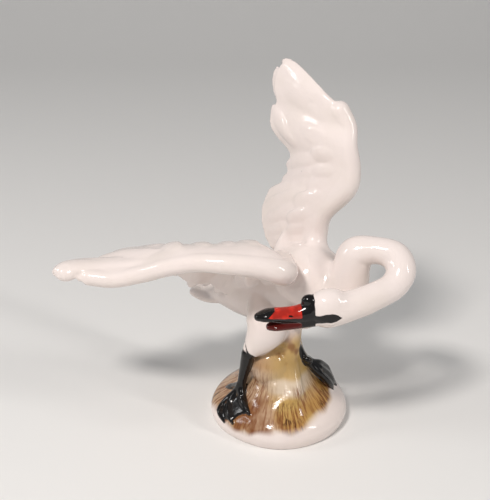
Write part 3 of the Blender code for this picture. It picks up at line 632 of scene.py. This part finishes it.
def wing_sheet(name, wing):
    """The wing's surface as a mesh that knows its own u, v and outward direction."""
    side = np.linspace(-SHEET_MARGIN, 1 + SHEET_MARGIN, 130)
    u, v = (a.ravel() for a in np.meshgrid(side, side, indexing="ij"))
    count = len(side)
    i, j = (a.ravel() for a in np.meshgrid(np.arange(count - 1), np.arange(count - 1), indexing="ij"))
    corner = i * count + j
    faces = np.stack([corner, corner + count, corner + count + 1, corner + 1], axis=1)
    sheet = mesh_object(name, [(wing.at(u, v), faces.tolist())])
    flat = sheet.data.uv_layers.new(name="place")
    place = (np.stack([u, v], axis=1) + SHEET_MARGIN) / (1 + 2 * SHEET_MARGIN)
    flat.data.foreach_set("uv", place[faces.ravel()].ravel())
    outward = sheet.data.attributes.new("outward", "FLOAT_VECTOR", "POINT")
    outward.data.foreach_set("vector", wing.normal(u, v).ravel())
    return sheet


# %% [markdown]
# ## The node tree that lays feathers
#
# The tree copies the blank to every place in a list, reads each copy's root and tip in `u` and `v`,
# and looks up on the sheet where that is. So a feather follows the bulge of its wing from root to
# tip, and one tree serves both wings.

# %% The node tree
class Tree:
    """A node tree written as nested calls: each call adds a node and returns its first output."""

    def __init__(self, tree):
        self.tree = tree

    def node(self, kind, inputs=None, **settings):
        made = self.tree.nodes.new(kind)
        for name, value in settings.items():
            setattr(made, name, value)
        for name, value in (inputs or {}).items():
            socket = made.inputs[name]
            if isinstance(value, bpy.types.NodeSocket):
                self.tree.links.new(value, socket)
            else:
                socket.default_value = value
        return made

    def out(self, kind, inputs=None, output=0, **settings):
        return self.node(kind, inputs, **settings).outputs[output]

    def math(self, operation, a, b=0.0, c=0.0):
        return self.out("ShaderNodeMath", {0: a, 1: b, 2: c}, operation=operation)


def feather_tree():
    group = bpy.data.node_groups.new("feathers laid on a wing", "GeometryNodeTree")
    face = group.interface
    face.new_socket("Places", in_out="INPUT", socket_type="NodeSocketGeometry")
    sockets = {
        "Blank": "NodeSocketObject",
        "Sheet": "NodeSocketObject",
        "Tilt": "NodeSocketFloat",
        "Material": "NodeSocketMaterial",
    }
    for name, kind in sockets.items():
        face.new_socket(name, in_out="INPUT", socket_type=kind)
    face.new_socket("Feathers", in_out="OUTPUT", socket_type="NodeSocketGeometry")
    t = Tree(group)
    given = t.node("NodeGroupInput")

    def named(name, kind="FLOAT"):
        return t.out("GeometryNodeInputNamedAttribute", {"Name": name}, data_type=kind)

    blank = t.out("GeometryNodeObjectInfo", {"Object": given.outputs["Blank"]}, output="Geometry")
    copies = t.out(
        "GeometryNodeInstanceOnPoints", {"Points": given.outputs["Places"], "Instance": blank}
    )
    feathers = t.out("GeometryNodeRealizeInstances", {"Geometry": copies})
    here = t.node("ShaderNodeSeparateXYZ", {0: t.out("GeometryNodeInputPosition")})
    x, y, z = here.outputs
    sheet = t.out("GeometryNodeObjectInfo", {"Object": given.outputs["Sheet"]}, output="Geometry")
    span = 1 / (1 + 2 * SHEET_MARGIN)

    def vector(operation, a, b=(0, 0, 0), c=(0, 0, 0), scale=1.0):
        return t.out("ShaderNodeVectorMath", {0: a, 1: b, 2: c, 3: scale}, operation=operation)

    def looked_up(value, place):
        """The value that the wing's sheet has at a place u, v."""
        on_map = vector("MULTIPLY_ADD", place, (span,) * 3, (SHEET_MARGIN * span,) * 3)
        node = t.node("GeometryNodeSampleUVSurface", data_type="FLOAT_VECTOR")
        for name, source in (("Mesh", sheet), ("Value", value), ("Sample UV", on_map)):
            t.tree.links.new(source, node.inputs[name])
        t.tree.links.new(named("place", "FLOAT_VECTOR"), node.inputs["Source UV Map"])
        return node.outputs[0]

    def surface(place):
        return looked_up(t.out("GeometryNodeInputPosition"), place)

    root, tip = named("root", "FLOAT_VECTOR"), named("tip", "FLOAT_VECTOR")
    place = vector("ADD", root, vector("SCALE", vector("SUBTRACT", tip, root), scale=y))
    outward = looked_up(named("outward", "FLOAT_VECTOR"), place)
    shaft = vector("SUBTRACT", surface(tip), surface(root))
    across = vector("NORMALIZE", vector("CROSS_PRODUCT", shaft, outward))
    lift = t.math("MULTIPLY_ADD", z, named("thick"), named("lift"))
    lift = t.math("MULTIPLY_ADD", x, given.outputs["Tilt"], lift)
    off = vector(
        "ADD",
        vector("SCALE", across, scale=t.math("MULTIPLY", x, named("half"))),
        vector("SCALE", outward, scale=lift),
    )
    spot = vector("ADD", surface(place), off)
    laid = t.out("GeometryNodeSetPosition", {"Geometry": feathers, "Position": spot})
    done = t.out("GeometryNodeSetMaterial", {"Geometry": laid, "Material": given.outputs["Material"]})
    result = t.node("NodeGroupOutput")
    group.links.new(done, result.inputs[0])
    return group


# %% [markdown]
# ## Flight feathers and coverts
#
# The long flight feathers stand in each wing's own list, because they make its outline. Two rows of
# short coverts lie over their roots like tiles, each tilted a little so that one edge shows.

# %% Feathers on both wings
COVERT_RELIEF, COVERT_END, COVERT_LEAN, SHINGLE = 0.0015, 0.70, 0.03, 0.0006
# number in the row, root and tip in v, first place, half width in millimetres
COVERTS = ((7, 0.02, 0.42, 0.5, 4.6), (9, 0.00, 0.22, 0.3, 3.6))


def covert_rows():
    """Short feathers in rows, written like a wing's own feathers."""
    for count, root, tip, phase, half in COVERTS:
        for k in range(count):
            u = COVERT_END * (k + phase) / count
            yield (u + COVERT_LEAN, root, u, tip, half, COVERT_RELIEF * 1000, WING_THICKNESS * 500)


def places(name, rows):
    """One loose point for each feather, with what the tree needs to know about it."""
    rows = np.array(rows, float)
    mesh = bpy.data.meshes.new(name)
    mesh.vertices.add(len(rows))
    flat = np.zeros((len(rows), 1))
    ends = {"root": np.hstack([rows[:, 0:2], flat]), "tip": np.hstack([rows[:, 2:4], flat])}
    for column, values in ends.items():
        mesh.attributes.new(column, "FLOAT_VECTOR", "POINT").data.foreach_set("vector", values.ravel())
    columns = dict(zip(("half", "thick", "lift"), rows[:, 4:7].T / 1000))
    for column, values in columns.items():
        mesh.attributes.new(column, "FLOAT", "POINT").data.foreach_set("value", values)
    obj = bpy.data.objects.new(name, mesh)
    bpy.context.scene.collection.objects.link(obj)
    return obj


def evaluated(obj):
    """A plain mesh of the object with its modifiers done."""
    bpy.context.view_layer.update()
    graph = bpy.context.evaluated_depsgraph_get()
    return bpy.data.meshes.new_from_object(obj.evaluated_get(graph), depsgraph=graph)


def mesh_arrays(mesh):
    points = np.empty(len(mesh.vertices) * 3)
    mesh.vertices.foreach_get("co", points)
    return points.reshape(-1, 3), [list(face.vertices) for face in mesh.polygons]


glaze = bpy.data.materials.new("glazed_porcelain")
blank, tree = feather_blank(), feather_tree()
plumage = []
scrap = [blank]
for name, wing in (("raised", RAISED_WING), ("spread", SPREAD_WING)):
    rows = list(wing.feathers) + list(covert_rows())
    cloud = places(name + "_feathers", rows)
    sheet = wing_sheet(name + "_sheet", wing)
    modifier = cloud.modifiers.new("feathers", "NODES")
    modifier.node_group = tree
    values = {"Blank": blank, "Sheet": sheet, "Tilt": SHINGLE, "Material": glaze}
    for item in tree.interface.items_tree:
        if item.in_out == "INPUT" and item.name in values:
            modifier[item.identifier] = values[item.name]
    plumage.append(mesh_arrays(evaluated(cloud)))
    print(name, "wing carries", len(rows), "feathers,", len(plumage[-1][0]), "points")
    scrap += [cloud, sheet]
for obj in scrap:
    bpy.data.objects.remove(obj)

# %% [markdown]
# ## One cast skin
#
# Slip fills every joint of the mould, so limbs run into each other without seams. All the forms are
# turned into one fine grid of clay, the grid's steps are smoothed as glaze rounds them, and the mesh
# is thinned where it is flat. Where limbs flow into each other a wet sponge takes the creases out,
# but the bill keeps its edges. Last, the skin is kept inside the box of the cast part.

# %% Fuse and smooth
GRAIN = 0.0005
SOFTENING = 7
MOST_TRIANGLES = 190000
BOX_MARGIN = 2e-5
SPONGE_ROUNDS, BILL_GUARD = 150, -0.0025
# from the frame the bird is modelled in to the part's own, under the middle of its box
CENTRING = (0.01982, 0.00253, 0)

# places where limbs flow into each other, how far round them, and how strongly the clay is smoothed
FLOWS = [
    (mantle_line[0], 0.011, 0.4),
    (mantle_line[1], 0.016, 0.5),
    (mantle_line[2], 0.018, 0.5),
    (RAISED_WING.at(0.10, 0.68), 0.009, 0.3),
    (RAISED_WING.at(0.00, 0.75), 0.010, 0.35),
    (SPREAD_WING.at(-0.03, 0.00), 0.010, 0.4),
    (on_body(0.35, 0.45, 0.80), 0.012, 0.5),
    (mantle_line[3], 0.015, 0.5),
    (mantle_line[4], 0.012, 0.5),
    (on_body(0.10, 0.80, -0.30), 0.013, 0.4),
    (NECK_LINE[-1] - BILL_HEADING * 0.004, 0.0085, 0.25),
    (NECK_LINE[1], 0.012, 0.5),
    (on_mound(0, 0.85, -0.004), 0.013, 0.10),
]


def mesh_edges(mesh):
    ends = np.empty(len(mesh.edges) * 2, int)
    mesh.edges.foreach_get("vertices", ends)
    return ends.reshape(-1, 2)


def relax(points, edges):
    """Draws each point towards its neighbours, only where limbs flow into each other."""
    pull = np.zeros(len(points))
    for centre, reach, strength in FLOWS:
        away = np.linalg.norm(points - centre, axis=1) / reach
        pull = np.maximum(pull, strength * np.clip(1.4 * (1 - away**2), 0, 1))
    pull *= (points - BILL_ROOT) @ BILL_HEADING < BILL_GUARD
    a, b = edges.T
    count = len(points)
    shared = np.bincount(edges.ravel(), minlength=count)
    for _ in range(SPONGE_ROUNDS):
        sums = [np.bincount(a, points[b, k], count) + np.bincount(b, points[a, k], count) for k in range(3)]
        points = points + (np.stack(sums, axis=1) / shared[:, None] - points) * pull[:, None]
    return points


def settle(obj):
    """Turns an object's modifiers into its mesh."""
    mesh = evaluated(obj)
    obj.modifiers.clear()
    obj.data = mesh
    return mesh


forms = rocks + body + head + thighs + shins + webs + plumage
swan = mesh_object("porcelain_swan", forms)
swan.data.materials.append(glaze)
fuse = swan.modifiers.new("one cast skin", "REMESH")
fuse.mode, fuse.voxel_size = "VOXEL", GRAIN
soften = swan.modifiers.new("glaze softening", "SMOOTH")
soften.iterations = SOFTENING
skin = settle(swan)
triangles = 2 * len(skin.polygons)
if triangles > MOST_TRIANGLES:
    thin = swan.modifiers.new("thinned", "DECIMATE")
    thin.ratio = MOST_TRIANGLES / triangles
    skin = settle(swan)
points, _ = mesh_arrays(skin)
points = relax(points, mesh_edges(skin)) + CENTRING
lowest = np.add(cad_box[0], BOX_MARGIN) * [1, 1, 0]
points = np.clip(points, lowest, np.subtract(cad_box[1], BOX_MARGIN))
skin.vertices.foreach_set("co", points.ravel())
skin.polygons.foreach_set("use_smooth", np.ones(len(skin.polygons), bool))
skin.materials.clear()
skin.materials.append(glaze)
print("skin of", len(skin.polygons), "faces, fused from", triangles)

# %% [markdown]
# ## Paint zones
#
# The painter works under the glaze. Each zone is kept on the skin as a distance in millimetres from
# its edge, below zero inside, so the paint ends in a clean line whatever the mesh. The head's zones
# are outlines in side view; legs, feet and rock are found by which form lies nearest.

# %% Measure the paint zones
FAR_OFF, FOOT_SPILL, HEAD_BREADTH = 5.0, 0.30, 8.0
# forward of the bill's root and up from it, both in millimetres
BAND = [(0.2, 7.5), (0.4, 2.5), (0.2, 0.4), (0.2, -5.6), (5.2, -5.6), (5.2, 3.0), (5.6, 7.5)]
EYE_PATCH = [
    (1.0, 0.4), (-1.0, 0.6), (-3.3, 1.4), (-6.5, 1.5), (-8.2, 0.5), (-9.6, -0.6),
    (-7.4, -1.8), (-5.7, -2.3), (-3.4, -2.4), (-1.2, -3.0), (1.0, -3.6),
]
GAPE = [
    (4.5, -0.9), (12.0, -0.4), (18.0, 0.2), (15.0, 2.4),
    (14.0, 4.5), (24.0, 4.5), (24.0, -3.0), (4.5, -3.0),
]
NOSTRIL = [(8.2, 0.2), (9.0, 0.8), (10.4, 0.9), (10.6, 0.2), (9.4, -0.2)]
RED = [(4.6, 6.0), (4.6, -1.5), (20.0, -1.5), (20.0, 6.0)]
# the lower bill faces down and is painted dark red as painted shade
LOWER_BILL_SHADE = [(4.6, -3.0), (22.0, -3.0), (22.0, -9.0), (4.6, -9.0)]
HEAD_ZONES = {
    "head_black": (BAND, EYE_PATCH, GAPE, NOSTRIL),
    "bill_red": (RED,),
    "bill_lower": (LOWER_BILL_SHADE,),
}


def keep(name, values):
    attribute = skin.attributes.new(name, "FLOAT", "POINT")
    attribute.data.foreach_set("value", np.asarray(values, float))


def off_edge(outline, spots):
    """Distance to the edge of an outline, below zero inside it."""
    corners = np.array(outline, float)
    after = np.roll(corners, -1, axis=0)
    nearest = np.full(len(spots), 1e9)
    crossings = np.zeros(len(spots), int)
    for a, b in zip(corners, after):
        side, reach = b - a, spots - a
        share = np.clip(reach @ side / (side @ side), 0, 1)
        nearest = np.minimum(nearest, np.linalg.norm(reach - share[:, None] * side, axis=1))
        level = (a[1] > spots[:, 1]) != (b[1] > spots[:, 1])
        reach_x = a[0] + (spots[:, 1] - a[1]) * side[0] / (side[1] if side[1] else 1e-9)
        crossings += level & (spots[:, 0] < reach_x)
    return np.where(crossings % 2 == 1, -nearest, nearest)


def gap_to(group, spots):
    """Distance in millimetres from each spot to the nearest of a group of forms."""
    starts = np.cumsum([0] + [len(form[0]) for form in group[:-1]])
    faces = [[start + i for i in face] for form, start in zip(group, starts) for face in form[1]]
    near = BVHTree.FromPolygons(np.vstack([form[0] for form in group]).tolist(), faces)
    return np.array([near.find_nearest(Vector(spot))[3] * 1000 for spot in spots])


home = points - CENTRING
low = np.flatnonzero(home[:, 2] < MOUND_HEIGHT * 1.6)
feet_edge, rock_edge = np.full((2, len(home)), FAR_OFF)
ankle = on_mound(*LEGS["right"]["ankle"])
# the black of the near leg runs up into the thigh's down in a point
cuff_line = ankle + np.array([(0, 0, 0), (-0.0014, 0.0, 0.0024), (-0.0030, 0.0002, 0.0062)])
cuff_radius = [0.0033, 0.0025, 0.0006]
cuff = sweep(cuff_line, cuff_radius, cuff_radius, up=(0, 1, 0))
feet_edge[low] = gap_to(shins + [cuff], home[low]) - FOOT_SPILL
rock_edge[low] = (gap_to(rocks, home[low]) - gap_to(thighs + body[:1], home[low])) / 2
keep("feet_edge", feet_edge)
keep("rock_edge", rock_edge)

forward, aside, up = ((home - BILL_ROOT) @ HEAD_AXES.T * 1000).T
far = np.abs(aside) > HEAD_BREADTH
spots = np.stack([forward, up], axis=1)
for name, outlines in HEAD_ZONES.items():
    edge = np.min([off_edge(outline, spots) for outline in outlines], axis=0)
    keep(name, np.where(far, FAR_OFF, edge))
print("feet painted on", int((feet_edge < 0).sum()), "points, rock on", int((rock_edge < 0).sum()))

# %% [markdown]
# ## The paint box
#
# Paint on porcelain is laid on in thin layers, so each layer is a colour mixed over the one below by
# an amount between 0 and 1. These are the few tools that make such amounts: soft edges, clouds and
# slopes.

# %% Paint tools
glaze.use_nodes = True
glaze.node_tree.nodes.clear()
p = Tree(glaze.node_tree)


def attribute(name, output="Fac"):
    return p.out("ShaderNodeAttribute", output=output, attribute_name=name)


def mix(amount, a, b):
    """Colour a where the amount is 0, b where it is 1."""
    node = p.node("ShaderNodeMix", data_type="RGBA")
    for socket, value in ((node.inputs[0], amount), (node.inputs[6], a), (node.inputs[7], b)):
        if isinstance(value, bpy.types.NodeSocket):
            p.tree.links.new(value, socket)
        else:
            socket.default_value = value
    return node.outputs[2]


def slope(value, low, high, start=0.0, end=1.0, shape="LINEAR"):
    inputs = {"Value": value, "From Min": low, "From Max": high, "To Min": start, "To Max": end}
    return p.out("ShaderNodeMapRange", inputs, interpolation_type=shape)


def inside(distance, soft):
    """1 inside a zone, 0 outside, over a soft edge in millimetres."""
    return slope(distance, soft, -soft)


def noise(place, scale, detail=2.0, rough=0.5):
    inputs = {"Vector": place, "Scale": scale, "Detail": detail, "Roughness": rough}
    return p.out("ShaderNodeTexNoise", inputs, output="Fac")


def ramp(value, low, high):
    """0 below the low value, 1 above the high one, smooth between."""
    return slope(value, low, high, shape="SMOOTHSTEP")


def times(a, b):
    return p.math("MULTIPLY", a, b)


def clouded(value, clouds, amount):
    """A value pushed up and down by clouds, so that an edge drawn from it wanders."""
    return p.math("MULTIPLY_ADD", p.math("SUBTRACT", clouds, 0.5), amount, value)


# %% [markdown]
# ## Washes on the rock
#
# The painter brushes ochre and brown outwards and down from the top, so the strokes run with the
# slope. The wash pools yellow in the middle, thins to white in a hollow above it, and stops short of
# the rim, lower on the left than on the right.

# %% The painted rock
WHITE, GREY_WHITE = (0.86, 0.765, 0.725, 1), (0.76, 0.68, 0.60, 1)
BLACK, RED_ENAMEL, DARK_RED = (0.006, 0.005, 0.005, 1), (0.62, 0.030, 0.016, 1), (0.085, 0.008, 0.006, 1)
OCHRE, YELLOW = (0.42, 0.21, 0.060, 1), (0.54, 0.36, 0.12, 1)
BROWN, UMBER = (0.19, 0.062, 0.020, 1), (0.070, 0.024, 0.010, 1)

here = p.out("ShaderNodeTexCoord", output="Object")
centred = p.out("ShaderNodeVectorMath", {0: here, 1: tuple(-c for c in CENTRING)}, operation="ADD")
x, y, z = p.node("ShaderNodeSeparateXYZ", {0: centred}).outputs
radius = p.math("SQRT", p.math("ADD", times(x, x), times(y, y)))
east, south = p.math("DIVIDE", x, radius), p.math("DIVIDE", y, radius)
strokes_at = p.out("ShaderNodeCombineXYZ", {0: times(east, 24.0), 1: times(south, 24.0), 2: times(z, 210.0)})
height = p.math("DIVIDE", z, MOUND_HEIGHT)

patches = noise(centred, 95.0, 3.0)
soft_patches = noise(centred, 45.0, 2.0)
stroke = ramp(noise(strokes_at, 1.0, 3.0, 0.6), 0.42, 0.62)
fine_stroke = ramp(noise(strokes_at, 1.9, 2.0, 0.6), 0.48, 0.66)

wavy = clouded(height, patches, 0.55)
# the washes reach lower towards the left, as far as the near foot
aside = p.math("MAXIMUM", x, -0.013)
band = times(ramp(p.math("MULTIPLY_ADD", aside, -7.0, wavy), 0.16, 0.28), ramp(wavy, 0.95, 0.62))
left = ramp(x, 0.001, -0.010)
right = ramp(x, 0.008, 0.017)
middle = p.math("SUBTRACT", 1.0, p.math("MAXIMUM", left, right))
lower = ramp(wavy, 0.66, 0.50)

rock = mix(ramp(soft_patches, 0.40, 0.58), GREY_WHITE, YELLOW)
rock = mix(times(ramp(height, 0.72, 0.90), 0.75), rock, OCHRE)
rock = mix(times(band, 0.70), rock, OCHRE)
rock = mix(times(times(middle, ramp(wavy, 0.36, 0.48)), 0.75), rock, YELLOW)
hollow = times(times(ramp(height, 0.52, 0.60), ramp(height, 0.76, 0.68)), middle)
rock = mix(times(hollow, 0.6), rock, GREY_WHITE)
brown_at = p.math("MAXIMUM", p.math("MAXIMUM", left, right), times(middle, lower))
rock = mix(times(times(times(band, brown_at), stroke), 0.85), rock, BROWN)
rock = mix(times(times(times(band, fine_stroke), brown_at), ramp(patches, 0.50, 0.66)), rock, UMBER)
front_left = times(times(ramp(x, 0.000, -0.010), ramp(y, -0.012, -0.019)), ramp(height, 0.62, 0.46))
rock = mix(times(times(front_left, ramp(patches, 0.34, 0.58)), 0.8), rock, BROWN)
crown_patch = times(ramp(height, 0.86, 0.98), ramp(noise(centred, 120.0), 0.49, 0.60))
rock = mix(times(crown_patch, 0.75), rock, BROWN)
rim_height = p.math("MULTIPLY_ADD", aside, -8.0, height)
rim = ramp(clouded(rim_height, soft_patches, 0.4), 0.29, 0.19)
rock = mix(times(rim, 0.95), rock, WHITE)
rock = mix(ramp(height, 1.10, 1.40), rock, WHITE)

# %% [markdown]
# ## Enamels and clear glaze
#
# White porcelain is never quite even, so a faint cloud of a greyer white lies over it. The red of the
# bill is dappled and the black is opaque. The lower bill faces down, and its dark red is painted
# shade. One clear glaze covers everything. It is not perfectly flat: slow waves and faint barbs in it
# break up the highlights, and its gloss varies a little.

# %% The glazed porcelain
cloudy = noise(centred, 60.0, 2.0)
porcelain = mix(times(ramp(cloudy, 0.35, 0.75), 0.35), WHITE, GREY_WHITE)
colour = mix(inside(attribute("rock_edge"), 0.5), porcelain, rock)
colour = mix(inside(attribute("feet_edge"), 0.15), colour, BLACK)
red = mix(times(ramp(noise(centred, 260.0, 2.0), 0.42, 0.62), 0.45), RED_ENAMEL, DARK_RED)
colour = mix(inside(attribute("bill_red"), 0.12), colour, red)
# painted shade: the lower bill, which faces down, is painted dark red
colour = mix(inside(attribute("bill_lower"), 0.12), colour, DARK_RED)
black_edge = clouded(attribute("head_black"), noise(centred, 420.0), 0.5)
colour = mix(inside(black_edge, 0.12), colour, BLACK)

waves = noise(centred, 170.0, 3.0)
drawn_down = p.out("ShaderNodeVectorMath", {0: centred, 1: (1.0, 1.0, 0.25)}, operation="MULTIPLY")
barbs = noise(drawn_down, 900.0, 2.0)
swell = p.math("ADD", times(waves, 0.8), times(barbs, 0.10))
bump = p.out("ShaderNodeBump", {"Height": swell, "Distance": 0.0006, "Strength": 0.45})
dull = slope(noise(centred, 80.0, 4.0), 0.3, 0.7, 0.07, 0.20)
shader = p.node("ShaderNodeBsdfPrincipled", {"Base Color": colour, "Roughness": dull, "Normal": bump})
shader.inputs["Specular IOR Level"].default_value = 0.34
shader.inputs["Coat Weight"].default_value = 0.12
shader.inputs["Coat Roughness"].default_value = 0.05
p.node("ShaderNodeOutputMaterial", {"Surface": shader.outputs[0]})
print("glaze has", len(glaze.node_tree.nodes), "nodes")

# %% [markdown]
# ## Table, light and camera
#
# A pale table runs up into a pale wall. A key light, a narrow side light, a weak window and a dim sky
# give the short bright highlights that show how glossy the glaze is, without washing out the white.

# %% Table and lamps
def plain(name, colour, rough):
    material = bpy.data.materials.new(name)
    material.use_nodes = True
    node = material.node_tree.nodes["Principled BSDF"]
    node.inputs["Base Color"].default_value = colour
    node.inputs["Roughness"].default_value = rough
    return material


bend = np.linspace(0, math.pi / 2, 28)
sweep_up = [(0.55 + 0.5 * math.sin(a), 0.5 - 0.5 * math.cos(a)) for a in bend]
profile = [(-0.9, 0.0), (-0.3, 0.0), *sweep_up, (1.05, 1.6)]
rings = [[(-1.8, y, z), (1.8, y, z)] for y, z in profile]
table_points = [point for ring in rings for point in ring]
table_faces = [[2 * i, 2 * i + 1, 2 * i + 3, 2 * i + 2] for i in range(len(profile) - 1)]
table = mesh_object("table", [(np.array(table_points), table_faces)])
table.data.materials.append(plain("pale_cloth", (0.84, 0.83, 0.81, 1), 0.9))
table.data.polygons.foreach_set("use_smooth", [True] * len(table.data.polygons))

world = bpy.data.worlds.new("room")
bpy.context.scene.world = world
world.use_nodes = True
world.node_tree.nodes["Background"].inputs["Color"].default_value = (0.80, 0.82, 0.85, 1)
world.node_tree.nodes["Background"].inputs["Strength"].default_value = 0.29


def soft_box(name, place, aim, width, height, watts, colour):
    lamp = bpy.data.lights.new(name, "AREA")
    lamp.shape, lamp.size, lamp.size_y = "RECTANGLE", width, height
    lamp.energy, lamp.color = watts, colour
    obj = bpy.data.objects.new(name, lamp)
    obj.location = place
    obj.rotation_euler = (Vector(aim) - Vector(place)).to_track_quat("-Z", "Y").to_euler()
    bpy.context.scene.collection.objects.link(obj)
    return obj


CENTRE = (0, 0, 0.07)
soft_box("key", (-0.26, -0.50, 0.74), CENTRE, 0.17, 0.10, 5.0, (1.0, 0.955, 0.925))
soft_box("side", (0.60, -0.30, 0.50), CENTRE, 0.06, 0.30, 1.5, (1.0, 0.97, 0.95))
soft_box("window", (-0.62, -0.05, 0.40), CENTRE, 0.06, 0.26, 0.8, (0.98, 0.99, 1.0))

# %% Camera
CAMERA_TILT = math.radians(65)
camera = bpy.data.cameras.new("camera")
camera.sensor_fit, camera.sensor_height, camera.lens = "VERTICAL", 36, 80.03
eye_point = bpy.data.objects.new("camera", camera)
eye_point.location, eye_point.rotation_euler = (0.0052, -0.4033, 0.2659), (CAMERA_TILT, 0, 0)
bpy.context.scene.collection.objects.link(eye_point)
bpy.context.scene.camera = eye_point
bpy.context.scene.view_settings.view_transform = "Standard"

# %% [markdown]
# ## Hand over
#
# The swan rides on the part's one body and stands for its one node.

# %% Finish
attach(swan, "root")
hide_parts("swan_figurine")
